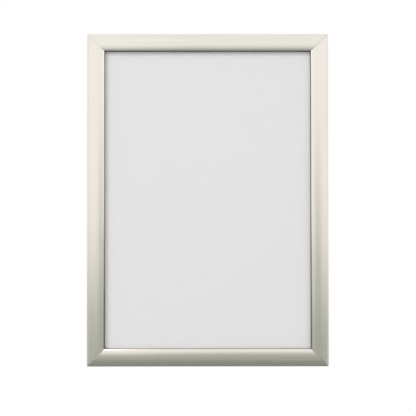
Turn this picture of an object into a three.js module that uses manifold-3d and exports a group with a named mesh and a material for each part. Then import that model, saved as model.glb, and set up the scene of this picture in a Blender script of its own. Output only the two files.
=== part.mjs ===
// Wall poster frame for an A3 sheet, with four mitred aluminium rails that snap open for a change of sheet.
// Units are millimetres, +Z is up, the front faces -Y and the origin is the middle of the back plane.
// A rail's section is drawn in u, inwards from the frame's outer edge, and v, forwards from the wall.

import * as THREE from 'three';
import { mergeVertices } from 'three/addons/utils/BufferGeometryUtils.js';
import Module from 'manifold-3d';

const wasm = await Module();
wasm.setup();

// Sheet and overall size
const SHEET_WIDTH = 297;
const SHEET_HEIGHT = 420;
const SHEET_OVERLAP = 10; // how far the closed rails cover each edge of the sheet
const FACE_WIDTH = 24.5;
const DEPTH = 12;
const OUTER_WIDTH = SHEET_WIDTH - 2 * SHEET_OVERLAP + 2 * FACE_WIDTH;
const OUTER_HEIGHT = SHEET_HEIGHT - 2 * SHEET_OVERLAP + 2 * FACE_WIDTH;
const SHEET_EDGE = FACE_WIDTH - SHEET_OVERLAP; // u of the sheet's edge

// Clearances
const RUNNING_GAP = 0.3; // between pieces that move past each other
const SHEET_ROOM = 0.5; // beside the sheet's edge
const LAY_GAP = 0.1; // above and below each plate or sheet
const NIP_GAP = 0.2; // between a closed rail's nose and the cover sheet
const MITRE_GAP = 0.15; // from a rail's end to the mitre plane

// Hinge: a bead along the snap rail turns in a socket along the base rail
const SNAP_WALL = 1.2;
const BEAD_RADIUS = 1.2;
const BEAD_GAP = 0.25;
const BEAD_SETBACK = 0.5; // from the rail's outer face to the bead
const SOCKET_FLOOR = 0.75;
const SOCKET_WALL = 1.15;
const SOCKET_ARM = 0.85;
const NECK_DEGREES = 145; // where the neck's lower side leaves the closed rail's bead
const OPENING_DEGREES = 90;
const SOCKET_CLEAR_DEGREES = 10;
const SOCKET_RADIUS = BEAD_RADIUS + BEAD_GAP;
const HINGE_U = BEAD_SETBACK + BEAD_RADIUS;
const HINGE_V = SOCKET_FLOOR + SOCKET_RADIUS;

// Base rail: floor, lipped channel for the corner bracket, and a ledge grooved for the back panel
const BASE_FLOOR = 1.2;
const CHANNEL_HEIGHT = 2.2;
const CHANNEL_LIP = 0.9;
const CHANNEL_LIP_REACH = 1.2;
const DIVIDER = 1.2; // wall between the channel and the panel's groove
const LEDGE = 0.8;
const FOOT = 0.9;
const FOOT_SETBACK = 0.2; // from the nose's inner face to the base rail's
const GROOVE_LIP = 0.7;
const CHANNEL_LEFT = HINGE_U + SOCKET_RADIUS + SOCKET_WALL;
const CHANNEL_RIGHT = SHEET_EDGE - SHEET_ROOM;
const CHANNEL_TOP = BASE_FLOOR + CHANNEL_HEIGHT;
const GROOVE_END = CHANNEL_RIGHT + DIVIDER;
const BASE_INNER = FACE_WIDTH - FOOT_SETBACK;

// Sheets, from the back forwards
const PANEL_THICKNESS = 1.1;
const POSTER_THICKNESS = 0.25;
const COVER_THICKNESS = 0.5;
const GROOVE_TOP = CHANNEL_TOP + PANEL_THICKNESS + 2 * LAY_GAP;
const BED = GROOVE_TOP + GROOVE_LIP; // v of the face that the poster lies on
const POSTER_BACK = BED + LAY_GAP;
const COVER_BACK = POSTER_BACK + POSTER_THICKNESS + LAY_GAP;
const NOSE_FOOT = COVER_BACK + COVER_THICKNESS + NIP_GAP;

// Snap rail's face: two quarter ellipses that meet at the crown
const SHOULDER_V = 6.6;
const NOSE_V = 9;
const CROWN_SHARE = 0.6;
const CROWN_U = CROWN_SHARE * FACE_WIDTH;

// Spring seats: a notch on the base rail's upright, and a hook on the snap rail's rib
const UPRIGHT = 1.2;
const NOTCH_V = 5.95;
const NOTCH_OUTER_RISE = 0.6;
const NOTCH_INNER_RISE = 0.35;
const NOTCH_REACH = 0.4;
const NOTCH_WALL = 0.6;
const RIB = 1;
const RIB_ROOT = 1.3;
const HOOK_V = 6.55;
const HOOK_REACH = 1.1;
const HOOK_RISE = 0.4;
const HOOK_WALL = 0.65;
const UPRIGHT_LEFT = CHANNEL_LEFT - UPRIGHT;
const NOTCH_U = CHANNEL_LEFT - UPRIGHT / 2;
const RIB_RIGHT = SHEET_EDGE - SHEET_ROOM;
const HOOK_U = RIB_RIGHT - RIB;

// Bowed leaf springs, two in each rail
const SPRING_THICKNESS = 0.45;
const SPRING_LENGTH = 60;
const SPRING_BOW = 2.3;
const SPRING_CORNER = 3;
const SPRING_STAND_OFF = 0.5; // from the bottom of a seat to the middle of the spring's edge
const SPRING_LEAN = 0.15;
const SPRING_PLACE_SHARE = 0.2; // of the rail's length, from its middle

// Corner brackets: toothed steel plates in the channels
const BRACKET_LEG = 46;
const BRACKET_SIDE_GAP = 0.25;
const BRACKET_CHAMFER = 2;
const BRACKET_THICKNESS = CHANNEL_HEIGHT - 2 * LAY_GAP;
const TOOTH_PITCH = 3;
const TOOTH_DEPTH = 0.6;
const TOOTH_COUNT = 8;

// Wall screws pass through the floor of the top and bottom base rails
const SCREW_HOLE_RADIUS = 2.2;
const SCREW_PLACE_SHARE = 0.32; // of the rail's length, from its middle
const CUT_OVERRUN = 1; // how far the drill passes through each face

// Facets
const FACE_STEPS = 36;
const UNDERSIDE_STEPS = 16;
const BEAD_STEPS = 24;
const SOCKET_STEPS = 18;
const SPRING_STEPS = 14;
const HOLE_STEPS = 24;

const ALUMINIUM = { color: 0xdcd9cd, roughness: 0.36, metalness: 1 };
const MILL_ALUMINIUM = { color: 0xc9c8c2, roughness: 0.45, metalness: 1 };
const ZINC_STEEL = { color: 0xb9bdc0, roughness: 0.4, metalness: 1 };
const SPRING_STEEL = { color: 0x8f9194, roughness: 0.3, metalness: 1 };
const WHITE_BOARD = { color: 0xe9e9e6, roughness: 0.6, metalness: 0 };
const PAPER = { color: 0xe3e3e3, roughness: 0.9, metalness: 0 };
const CLEAR_PLASTIC = { color: 0xf2f4f5, roughness: 0.25, metalness: 0, transparent: true, opacity: 0.2 };

const radians = THREE.MathUtils.degToRad;

// Four sides: each rail's inward direction, length and whether wall screws pass through it
const SIDES = [
  { name: 'top', inward: new THREE.Vector3(0, 0, -1), length: OUTER_WIDTH, span: OUTER_HEIGHT, screws: true },
  { name: 'bottom', inward: new THREE.Vector3(0, 0, 1), length: OUTER_WIDTH, span: OUTER_HEIGHT, screws: true },
  { name: 'left', inward: new THREE.Vector3(1, 0, 0), length: OUTER_HEIGHT, span: OUTER_WIDTH, screws: false },
  { name: 'right', inward: new THREE.Vector3(-1, 0, 0), length: OUTER_HEIGHT, span: OUTER_WIDTH, screws: false },
];
const FORWARD = new THREE.Vector3(0, -1, 0);

function finish(name, geometry, look) {
  const mesh = new THREE.Mesh(geometry, new THREE.MeshStandardMaterial(look));
  mesh.name = name;
  return mesh;
}

// A group whose x, y and z run inwards, forwards and along the rail, from the middle of its outer edge
function railGroup(side) {
  const along = new THREE.Vector3().crossVectors(side.inward, FORWARD);
  const frame = new THREE.Group();
  frame.quaternion.setFromRotationMatrix(new THREE.Matrix4().makeBasis(side.inward, FORWARD, along));
  frame.position.copy(side.inward).multiplyScalar(-side.span / 2);
  return frame;
}

function shapeOf(outline) {
  return new THREE.Shape(outline.map(([u, v]) => new THREE.Vector2(u, v)));
}

function prism(outline, length) {
  const geometry = new THREE.ExtrudeGeometry(shapeOf(outline), { depth: length, bevelEnabled: false });
  return geometry.translate(0, 0, -length / 2);
}

// A section run along the rail, with each end cut back by the distance that cutBack gives for a point
function mitredPrism(outline, length, cutBack) {
  const geometry = prism(outline, length);
  const points = geometry.attributes.position;
  for (let k = 0; k < points.count; k++) {
    const reach = length / 2 - cutBack(points.getX(k), points.getY(k));
    points.setZ(k, Math.sign(points.getZ(k)) * reach);
  }
  return geometry;
}

function arc(u, v, radius, fromDegrees, toDegrees, steps) {
  const points = [];
  for (let k = 0; k <= steps; k++) {
    const angle = radians(fromDegrees + ((toDegrees - fromDegrees) * k) / steps);
    points.push([u + radius * Math.cos(angle), v + radius * Math.sin(angle)]);
  }
  return points;
}

// Height of the snap rail's face at u, or of its underside when inset is the wall's thickness
function faceHeight(u, inset) {
  const outer = u < CROWN_U;
  const foot = outer ? SHOULDER_V : NOSE_V;
  const reach = (outer ? CROWN_U : FACE_WIDTH - CROWN_U) - inset;
  const share = Math.min(Math.abs(CROWN_U - u) / reach, 1);
  return foot + (DEPTH - foot - inset) * Math.sqrt(1 - share * share);
}

// Points along the face or the underside, closer together towards both ends
function faceRun(fromU, toU, inset, steps) {
  const points = [];
  for (let k = 0; k <= steps; k++) {
    const share = (1 - Math.cos((Math.PI * k) / steps)) / 2;
    const u = fromU + (toU - fromU) * share;
    points.push([u, faceHeight(u, inset)]);
  }
  return points;
}

// Rib under the snap rail, hooked at its foot to hold the spring's inner edge
function ribOutline() {
  return [
    [RIB_RIGHT, HOOK_V - HOOK_WALL],
    [HOOK_U - RIB, HOOK_V - HOOK_WALL],
    [HOOK_U - HOOK_REACH, HOOK_V + HOOK_RISE - HOOK_WALL],
    [HOOK_U - HOOK_REACH, HOOK_V + HOOK_RISE],
    [HOOK_U, HOOK_V],
  ];
}

function snapOutline() {
  const neckInnerDegrees = THREE.MathUtils.radToDeg(Math.acos((SNAP_WALL - HINGE_U) / BEAD_RADIUS));
  const neckFoot = HINGE_V - HINGE_U * Math.tan(radians(NECK_DEGREES));
  return [
    [0, neckFoot],
    ...faceRun(0, FACE_WIDTH, 0, FACE_STEPS),
    [FACE_WIDTH, NOSE_FOOT],
    [FACE_WIDTH - SNAP_WALL, NOSE_FOOT],
    ...faceRun(FACE_WIDTH - SNAP_WALL, RIB_RIGHT, SNAP_WALL, UNDERSIDE_STEPS),
    ...ribOutline(),
    ...faceRun(RIB_RIGHT - RIB_ROOT, SNAP_WALL, SNAP_WALL, UNDERSIDE_STEPS),
    ...arc(HINGE_U, HINGE_V, BEAD_RADIUS, neckInnerDegrees, NECK_DEGREES - 360, BEAD_STEPS),
  ];
}

// The bead is cut square, clear of its neighbour's, and all above it follows the mitre
function snapCutBack(u, v) {
  const beadTop = HINGE_V + BEAD_RADIUS;
  const beadInner = HINGE_U + BEAD_RADIUS;
  return MITRE_GAP + (v < beadTop && u > 0 ? Math.max(u, beadInner) : u);
}

function socketOutline() {
  const endDegrees = NECK_DEGREES + OPENING_DEGREES + SOCKET_CLEAR_DEGREES;
  const armU = SNAP_WALL + RUNNING_GAP;
  const armDegrees = THREE.MathUtils.radToDeg(Math.acos((armU - HINGE_U) / SOCKET_RADIUS));
  return [
    [UPRIGHT_LEFT, HINGE_V + SOCKET_RADIUS + SOCKET_ARM],
    [armU, HINGE_V + SOCKET_RADIUS + SOCKET_ARM],
    ...arc(HINGE_U, HINGE_V, SOCKET_RADIUS, armDegrees, endDegrees - 360, SOCKET_STEPS),
    [HINGE_U - HINGE_V / Math.tan(radians(endDegrees)), 0],
  ];
}

function notchOutline() {
  return [
    [CHANNEL_LEFT, NOTCH_V - NOTCH_WALL],
    [CHANNEL_LEFT + NOTCH_REACH, NOTCH_V + NOTCH_INNER_RISE - NOTCH_WALL],
    [CHANNEL_LEFT + NOTCH_REACH, NOTCH_V + NOTCH_INNER_RISE],
    [NOTCH_U, NOTCH_V],
    [UPRIGHT_LEFT, NOTCH_V + NOTCH_OUTER_RISE],
  ];
}

function channelOutline() {
  return [
    [CHANNEL_RIGHT, CHANNEL_TOP + CHANNEL_LIP],
    [CHANNEL_RIGHT - CHANNEL_LIP_REACH, CHANNEL_TOP + CHANNEL_LIP],
    [CHANNEL_RIGHT - CHANNEL_LIP_REACH, CHANNEL_TOP],
    [CHANNEL_RIGHT, CHANNEL_TOP],
    [CHANNEL_RIGHT, BASE_FLOOR],
    [CHANNEL_LEFT, BASE_FLOOR],
    [CHANNEL_LEFT, CHANNEL_TOP],
    [CHANNEL_LEFT + CHANNEL_LIP_REACH, CHANNEL_TOP],
    [CHANNEL_LEFT + CHANNEL_LIP_REACH, CHANNEL_TOP + CHANNEL_LIP],
    [CHANNEL_LEFT, CHANNEL_TOP + CHANNEL_LIP],
  ];
}

function ledgeOutline() {
  return [
    [GROOVE_END, 0],
    [GROOVE_END, CHANNEL_TOP - LEDGE],
    [BASE_INNER - FOOT, CHANNEL_TOP - LEDGE],
    [BASE_INNER - FOOT, 0],
    [BASE_INNER, 0],
    [BASE_INNER, CHANNEL_TOP],
    [GROOVE_END, CHANNEL_TOP],
    [GROOVE_END, GROOVE_TOP],
    [BASE_INNER, GROOVE_TOP],
    [BASE_INNER, BED],
    [CHANNEL_RIGHT, BED],
  ];
}

function baseOutline() {
  return [...ledgeOutline(), ...channelOutline(), ...notchOutline(), ...socketOutline()];
}

function solidOf(geometry) {
  const bare = geometry.clone();
  bare.deleteAttribute('normal');
  bare.deleteAttribute('uv');
  const merged = mergeVertices(bare);
  return new wasm.Manifold(
    new wasm.Mesh({
      numProp: 3,
      vertProperties: new Float32Array(merged.attributes.position.array),
      triVerts: new Uint32Array(merged.index.array),
    }),
  );
}

function geometryOf(solid) {
  const { vertProperties, triVerts } = solid.getMesh();
  const geometry = new THREE.BufferGeometry();
  geometry.setAttribute('position', new THREE.BufferAttribute(vertProperties, 3));
  geometry.setIndex(new THREE.BufferAttribute(triVerts, 1));
  const flat = geometry.toNonIndexed();
  flat.computeVertexNormals();
  return flat;
}

// Two clearance holes for wall screws, through the floor in the middle of the channel
function drilled(geometry, length) {
  let rail = solidOf(geometry);
  for (const end of [-1, 1]) {
    const drill = new THREE.CylinderGeometry(
      SCREW_HOLE_RADIUS,
      SCREW_HOLE_RADIUS,
      BASE_FLOOR + 2 * CUT_OVERRUN,
      HOLE_STEPS,
    );
    drill.translate((CHANNEL_LEFT + CHANNEL_RIGHT) / 2, BASE_FLOOR / 2, end * SCREW_PLACE_SHARE * length);
    rail = rail.subtract(solidOf(drill));
  }
  return geometryOf(rail);
}

function baseRail(side) {
  const geometry = mitredPrism(baseOutline(), side.length, (u) => MITRE_GAP + u);
  const cut = side.screws ? drilled(geometry, side.length) : geometry;
  return finish(`base_rail_${side.name}`, cut, MILL_ALUMINIUM);
}

function snapRail(side) {
  const geometry = mitredPrism(snapOutline(), side.length, snapCutBack);
  return finish(`snap_rail_${side.name}`, geometry, ALUMINIUM);
}

// The spring's bow as a ring of points: an arc over the chord between its seats, with its thickness
function springOutline() {
  const outer = new THREE.Vector2(NOTCH_U + SPRING_LEAN, NOTCH_V + SPRING_STAND_OFF);
  const inner = new THREE.Vector2(HOOK_U - 2 * SPRING_LEAN, HOOK_V + SPRING_STAND_OFF);
  const chord = new THREE.Vector2().subVectors(inner, outer);
  const half = chord.length() / 2;
  const radius = (half * half + SPRING_BOW * SPRING_BOW) / (2 * SPRING_BOW);
  const middle = new THREE.Vector2().addVectors(outer, inner).multiplyScalar(1 / 2);
  const normal = new THREE.Vector2(-chord.y, chord.x).normalize();
  const centre = middle.addScaledVector(normal, SPRING_BOW - radius);
  const halfDegrees = THREE.MathUtils.radToDeg(Math.asin(half / radius));
  const upDegrees = THREE.MathUtils.radToDeg(normal.angle());
  const from = upDegrees + halfDegrees;
  const to = upDegrees - halfDegrees;
  return [
    ...arc(centre.x, centre.y, radius + SPRING_THICKNESS / 2, from, to, SPRING_STEPS),
    ...arc(centre.x, centre.y, radius - SPRING_THICKNESS / 2, to, from, SPRING_STEPS),
  ];
}

function leafSpring(side, number, end) {
  const geometry = mitredPrism(springOutline(), SPRING_LENGTH, springCutBack);
  const spring = finish(`leaf_spring_${side.name}_${number}`, geometry, SPRING_STEEL);
  spring.position.z = end * SPRING_PLACE_SHARE * side.length;
  return spring;
}

// Each end of the strip narrows towards its edges, so that no sharp corner digs into a seat
function springCutBack(u) {
  const middle = (NOTCH_U + HOOK_U) / 2;
  const share = Math.abs(u - middle) / (HOOK_U - middle);
  return SPRING_CORNER * share ** 6;
}

// Saw teeth along one edge of a bracket's leg, as points that go from the root towards the tip
function toothRun(from, edge, inward, swap) {
  const points = [];
  for (let k = 0; k < TOOTH_COUNT; k++) {
    const start = from + k * TOOTH_PITCH;
    points.push([start, edge], [start + TOOTH_PITCH / 3, edge + inward * TOOTH_DEPTH]);
  }
  points.push([from + TOOTH_COUNT * TOOTH_PITCH, edge]);
  return swap ? points.map(([a, b]) => [b, a]).reverse() : points;
}

// An L in the corner's own x and y, which run inwards from the frame's two outer edges
function bracketOutline() {
  const near = CHANNEL_LEFT + BRACKET_SIDE_GAP;
  const far = CHANNEL_RIGHT - BRACKET_SIDE_GAP;
  const tip = near + BRACKET_LEG;
  const teeth = tip - BRACKET_CHAMFER - (TOOTH_COUNT + 1) * TOOTH_PITCH;
  return [
    [near + BRACKET_CHAMFER, near],
    ...toothRun(teeth, near, 1, false),
    [tip - BRACKET_CHAMFER, near],
    [tip, near + BRACKET_CHAMFER],
    [tip, far - BRACKET_CHAMFER],
    [tip - BRACKET_CHAMFER, far],
    ...toothRun(teeth, far, -1, false).reverse(),
    [far, far],
    ...toothRun(teeth, far, -1, true).reverse(),
    [far, tip - BRACKET_CHAMFER],
    [far - BRACKET_CHAMFER, tip],
    [near + BRACKET_CHAMFER, tip],
    [near, tip - BRACKET_CHAMFER],
    ...toothRun(teeth, near, 1, true),
    [near, near + BRACKET_CHAMFER],
  ];
}

// The corner's two edges: x runs along right, y runs along down, and z runs forwards
function cornerBracket(name, right, down) {
  const geometry = prism(bracketOutline(), BRACKET_THICKNESS);
  const bracket = finish(`corner_bracket_${name}`, geometry, ZINC_STEEL);
  bracket.quaternion.setFromRotationMatrix(new THREE.Matrix4().makeBasis(right, down, FORWARD));
  bracket.position.addScaledVector(FORWARD, BASE_FLOOR + CHANNEL_HEIGHT / 2);
  const corner = new THREE.Vector3().addVectors(right, down);
  bracket.position.x = -corner.x * OUTER_WIDTH / 2;
  bracket.position.z = -corner.z * OUTER_HEIGHT / 2;
  return bracket;
}

function sheet(name, width, height, thickness, back, look) {
  const mesh = finish(name, new THREE.BoxGeometry(width, thickness, height), look);
  mesh.position.y = -(back + thickness / 2);
  return mesh;
}

const group = new THREE.Group();
for (const side of SIDES) {
  const rails = railGroup(side);
  rails.add(baseRail(side), snapRail(side), leafSpring(side, 1, -1), leafSpring(side, 2, 1));
  group.add(rails);
}

const [UP, DOWN] = [new THREE.Vector3(0, 0, 1), new THREE.Vector3(0, 0, -1)];
const [RIGHT, LEFT] = [new THREE.Vector3(1, 0, 0), new THREE.Vector3(-1, 0, 0)];
group.add(
  cornerBracket('top_left', DOWN, RIGHT),
  cornerBracket('top_right', LEFT, DOWN),
  cornerBracket('bottom_right', UP, LEFT),
  cornerBracket('bottom_left', RIGHT, UP),
);

const panelInset = 2 * (GROOVE_END + RUNNING_GAP);
group.add(
  sheet('back_panel', OUTER_WIDTH - panelInset, OUTER_HEIGHT - panelInset, PANEL_THICKNESS,
    CHANNEL_TOP + LAY_GAP, WHITE_BOARD),
  sheet('poster_insert', SHEET_WIDTH, SHEET_HEIGHT, POSTER_THICKNESS, POSTER_BACK, PAPER),
  sheet('cover_sheet', SHEET_WIDTH, SHEET_HEIGHT, COVER_THICKNESS, COVER_BACK, CLEAR_PLASTIC),
);

export default group;
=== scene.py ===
"""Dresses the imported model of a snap-open poster frame: rails, springs, brackets, sheets and a plain studio.

Each rail's section is drawn in u, inwards from the frame's outer edge, and v, forwards from the wall.
"""

import math
from functools import cache

import bmesh
import bpy
from mathutils import Matrix, Vector
from mathutils.geometry import delaunay_2d_cdt


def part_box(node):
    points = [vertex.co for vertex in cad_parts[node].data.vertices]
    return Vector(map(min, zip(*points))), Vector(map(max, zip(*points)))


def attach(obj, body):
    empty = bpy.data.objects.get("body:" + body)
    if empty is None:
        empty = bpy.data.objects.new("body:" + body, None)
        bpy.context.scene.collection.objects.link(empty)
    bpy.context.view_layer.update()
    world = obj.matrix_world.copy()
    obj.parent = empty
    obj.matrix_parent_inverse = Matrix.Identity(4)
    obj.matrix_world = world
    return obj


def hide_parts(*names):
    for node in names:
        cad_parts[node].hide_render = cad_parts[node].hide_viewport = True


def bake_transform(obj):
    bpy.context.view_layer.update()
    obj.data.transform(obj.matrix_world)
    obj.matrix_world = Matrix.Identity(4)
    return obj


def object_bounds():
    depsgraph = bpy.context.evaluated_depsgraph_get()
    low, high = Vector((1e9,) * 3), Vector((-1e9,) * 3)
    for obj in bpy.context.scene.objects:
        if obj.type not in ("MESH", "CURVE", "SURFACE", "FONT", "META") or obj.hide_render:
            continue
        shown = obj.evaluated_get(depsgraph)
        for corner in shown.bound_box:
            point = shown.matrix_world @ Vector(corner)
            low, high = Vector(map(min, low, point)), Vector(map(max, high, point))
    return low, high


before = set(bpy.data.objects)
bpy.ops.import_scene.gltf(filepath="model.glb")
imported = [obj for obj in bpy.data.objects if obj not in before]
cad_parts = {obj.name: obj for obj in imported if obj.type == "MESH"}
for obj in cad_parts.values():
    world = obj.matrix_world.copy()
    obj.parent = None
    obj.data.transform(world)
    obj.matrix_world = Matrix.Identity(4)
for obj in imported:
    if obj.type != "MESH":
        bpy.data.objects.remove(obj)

bl_info = {
    "name": "Snap poster frame",
    "version": (1, 0, 0),
    "blender": (4, 5, 0),
    "location": "View3D > Sidebar > Poster frame",
    "description": "Builds a wall poster frame with mitred rails that snap open, around its packed model",
    "category": "Add Mesh",
}

CAD_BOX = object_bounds()
LOW, HIGH = CAD_BOX
MM = 0.001

# Clearances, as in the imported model
RUNNING_GAP = 0.3 * MM
SHEET_ROOM = 0.5 * MM
LAY_GAP = 0.1 * MM
NIP_GAP = 0.2 * MM
MITRE_GAP = 0.15 * MM

# Overall size and the places of the sheets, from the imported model
OUTER_WIDTH = HIGH[0] - LOW[0]
OUTER_HEIGHT = HIGH[2] - LOW[2]
DEPTH = HIGH[1] - LOW[1]
FACE_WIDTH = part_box("snap_rail_left")[1].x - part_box("snap_rail_left")[0].x
SHEET_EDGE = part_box("cover_sheet")[0].x - LOW[0]
PANEL_FRONT = -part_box("back_panel")[0].y
NOSE_FOOT = -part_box("cover_sheet")[0].y + NIP_GAP

# Hinge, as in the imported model
SNAP_WALL = 1.2 * MM
BEAD_RADIUS = 1.2 * MM
BEAD_GAP = 0.25 * MM
BEAD_SETBACK = 0.5 * MM
SOCKET_FLOOR = 0.75 * MM
SOCKET_WALL = 1.15 * MM
SOCKET_ARM = 0.85 * MM
NECK_DEGREES = 145
OPENING_DEGREES = 90
SOCKET_CLEAR_DEGREES = 10
SOCKET_END_DEGREES = NECK_DEGREES + OPENING_DEGREES + SOCKET_CLEAR_DEGREES
SOCKET_RADIUS = BEAD_RADIUS + BEAD_GAP
HINGE_U = BEAD_SETBACK + BEAD_RADIUS
HINGE_V = SOCKET_FLOOR + SOCKET_RADIUS
ARM_U = SNAP_WALL + RUNNING_GAP
NECK_FOOT_V = HINGE_V - HINGE_U * math.tan(math.radians(NECK_DEGREES))

# Base rail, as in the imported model
BASE_FLOOR = 1.2 * MM
CHANNEL_TOP = 3.4 * MM
CHANNEL_LIP = 0.9 * MM
CHANNEL_LIP_REACH = 1.2 * MM
DIVIDER = 1.2 * MM
LEDGE = 0.8 * MM
FOOT = 0.9 * MM
FOOT_SETBACK = 0.2 * MM
GROOVE_LIP = 0.7 * MM
CHANNEL_LEFT = HINGE_U + SOCKET_RADIUS + SOCKET_WALL
CHANNEL_RIGHT = SHEET_EDGE - SHEET_ROOM
LIP_TOP = CHANNEL_TOP + CHANNEL_LIP
GROOVE_END = CHANNEL_RIGHT + DIVIDER
GROOVE_TOP = PANEL_FRONT + LAY_GAP
BED = GROOVE_TOP + GROOVE_LIP
BASE_INNER = FACE_WIDTH - FOOT_SETBACK
SCREW_HOLE_RADIUS = 2.2 * MM
SCREW_PLACE_SHARE = 0.32
CUT_OVERRUN = 1 * MM

# Snap rail's face: two quarter ellipses that meet at the crown
SHOULDER_V = 6.6 * MM
NOSE_V = 9 * MM
CROWN_SHARE = 0.6
CROWN_U = CROWN_SHARE * FACE_WIDTH

# Spring seats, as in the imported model: a notch on the base rail and a hook on the snap rail's rib
UPRIGHT = 1.2 * MM
NOTCH_V = 5.95 * MM
NOTCH_OUTER_RISE = 0.6 * MM
NOTCH_INNER_RISE = 0.35 * MM
NOTCH_REACH = 0.4 * MM
NOTCH_WALL = 0.6 * MM
RIB = 1 * MM
RIB_ROOT = 1.3 * MM
HOOK_V = 6.55 * MM
HOOK_REACH = 1.1 * MM
HOOK_RISE = 0.4 * MM
HOOK_WALL = 0.65 * MM
UPRIGHT_LEFT = CHANNEL_LEFT - UPRIGHT
NOTCH_U = CHANNEL_LEFT - UPRIGHT / 2
RIB_RIGHT = SHEET_EDGE - SHEET_ROOM
HOOK_U = RIB_RIGHT - RIB

# Springs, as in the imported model
SPRING_BOW = 2.3 * MM
SPRING_THICKNESS = 0.45 * MM
SPRING_LENGTH = 60 * MM
SPRING_CORNER = 3 * MM
SPRING_STAND_OFF = 0.5 * MM
SPRING_LEAN = 0.15 * MM
SPRING_PLACE_SHARE = 0.2

# Corner brackets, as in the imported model
BRACKET_LEG = 46 * MM
BRACKET_SIDE_GAP = 0.25 * MM
BRACKET_CHAMFER = 2 * MM
TOOTH_PITCH = 3 * MM
TOOTH_DEPTH = 0.6 * MM
TOOTH_COUNT = 8

# Ends of the finished rails, cut back at the bead and the wall's foot so that open neighbours stay clear
BEAD_CUT_SHARE = 1.25
WALL_FOOT_CUT = 0.6 * MM
WALL_FOOT_CUT_RISE = 0.3 * MM
WALL_FOOT_RISE = 0.5 * MM
BASE_MITRE_GAP = 0.03 * MM
MITRE_BREAK_SLOPE = 2
LEAN_STEP = 0.001 * MM

# How far the snap rails have slid along their hinges, so that the mitres are tighter on the left
SLIP_LEFT = 0.14 * MM
SLIP_UP = 0.06 * MM

# Painted shade: a dark line at the edge of each nose, where it meets the cover sheet, fainter on the bottom
# rail, which faces up to the light
NOSE_SHADE_REACH = 1.3 * MM
NOSE_SHADE_DROP = 0.5 * MM
NOSE_SHADE_U = FACE_WIDTH - NOSE_SHADE_REACH
NOSE_SHADE_V = NOSE_V - NOSE_SHADE_DROP
FAINT_NOSE_SHADE_SHARE = 0.5

# Which way the anodised rails' grain spreads a reflection, in turns
UPRIGHT_GRAIN_TURN = 0.0
LEVEL_GRAIN_TURN = 0.25

# Round corners and broken edges of the finished pieces
BRACKET_CORNER = 0.15 * MM
BRACKET_EDGE = 0.12 * MM
PANEL_CORNER = 1 * MM
PANEL_EDGE = 0.1 * MM
INSERT_CORNER = 0.3 * MM
INSERT_EDGE = 0.02 * MM
COVER_CORNER = 1 * MM
COVER_EDGE = 0.06 * MM

# How finely outlines and meshes are drawn
CORNER_TURN = math.radians(25)
CORNER_TRIM_SHARE = 0.4
CORNER_STEPS = 4
BRACKET_CORNER_STEPS = 2
SHEET_CORNER_STEPS = 6
BEAD_STEPS = 40
SOCKET_STEPS = 32
HOLE_STEPS = 48
SPRING_ROWS_ACROSS = 33
SPRING_ROWS_ALONG = 41
SPRING_CORNER_POWER = 6
LEAST_STEP = 0.003 * MM
LEAST_HEADING = 0.01
FLAT_TOLERANCE = 1e-4
MERGE_DISTANCE = 1e-7
CREASE = math.radians(30)

# Studio, in metres: camera, lamps and floor
SENSOR_WIDTH = 36
CLIP_START = 0.02
KEY_LAMP_PLACE = (-3.6, -2.9, 3.9)
KEY_LAMP_SIZE = (1.6, 1.6)
FILL_LAMP_PLACE = (3.6, -3.6, 2.8)
FILL_LAMP_SIZE = (2.2, 2.2)
SIDE_PANEL_PLACE = Vector((1.75, -2.5, 1.15))
SIDE_PANEL_SIZE = (3.2, 2.4)
FLOOR_DROP = 0.55
FLOOR_LEVEL = LOW[2] - FLOOR_DROP
FLOOR_FRONT = -5.5
FLOOR_BACK = 3.0
FLOOR_SIDE = 6.0

# Cards that show only in reflections, in metres, and the grey that they have at some heights: painted shade,
# dark at the foot and paler higher up
CARD_FRONT = -1.179
CARD_BACK = 1.2
CARD_REACH = 3.0
CARD_TOP = -0.07
CARD_GAP = 0.01
CARD_FOOT = FLOOR_LEVEL + CARD_GAP
CARD_FOOT_BAND = 0.018
STEP_CARD_FRONT = CARD_FRONT + CARD_GAP
STEP_CARD_LEFT = -0.12
STEP_CARD_RIGHT = 0.52
STEP_CARD_TOP = 0.163
WING_TOP = -0.164
CARD_FOOT_TONES = ((CARD_FOOT, 0.235), (CARD_FOOT + CARD_FOOT_BAND, 0.51))
WIDE_CARD_TONES = ((-0.28, 0.53), (-0.226, 0.66), (-0.2, 0.75), (-0.137, 0.92), (CARD_TOP, 1.0))
STEP_CARD_TONES = (
    (-0.24, 0.50), (-0.2, 0.55), (-0.137, 0.63), (-0.047, 0.78), (0.043, 0.93), (STEP_CARD_TOP, 1.0),
)

# How far the red and blue of a dark card fall short of its green
CARD_RED_LOSS_SHARE = 0.03
CARD_BLUE_LOSS_SHARE = 0.07

FORWARD = Vector((0, -1, 0))
SIDES = {
    "top": (Vector((0, 0, -1)), OUTER_WIDTH, OUTER_HEIGHT),
    "bottom": (Vector((0, 0, 1)), OUTER_WIDTH, OUTER_HEIGHT),
    "left": (Vector((1, 0, 0)), OUTER_HEIGHT, OUTER_WIDTH),
    "right": (Vector((-1, 0, 0)), OUTER_HEIGHT, OUTER_WIDTH),
}


class FrameSizes(bpy.types.PropertyGroup):
    """How finely the rails are drawn, and how much their edges are broken."""

    face_steps: bpy.props.IntProperty(
        name="Face steps", description="Points across the face of a snap rail", default=96, min=12, max=400
    )
    edge_radius: bpy.props.FloatProperty(
        name="Edge radius", description="Radius on the long edges of the extruded rails", default=0.18 * MM,
        unit="LENGTH", precision=5,
    )
    mitre_break: bpy.props.FloatProperty(
        name="Mitre break", description="Depth of the broken edge along each mitre cut", default=0.06 * MM,
        unit="LENGTH", precision=5,
    )


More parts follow.
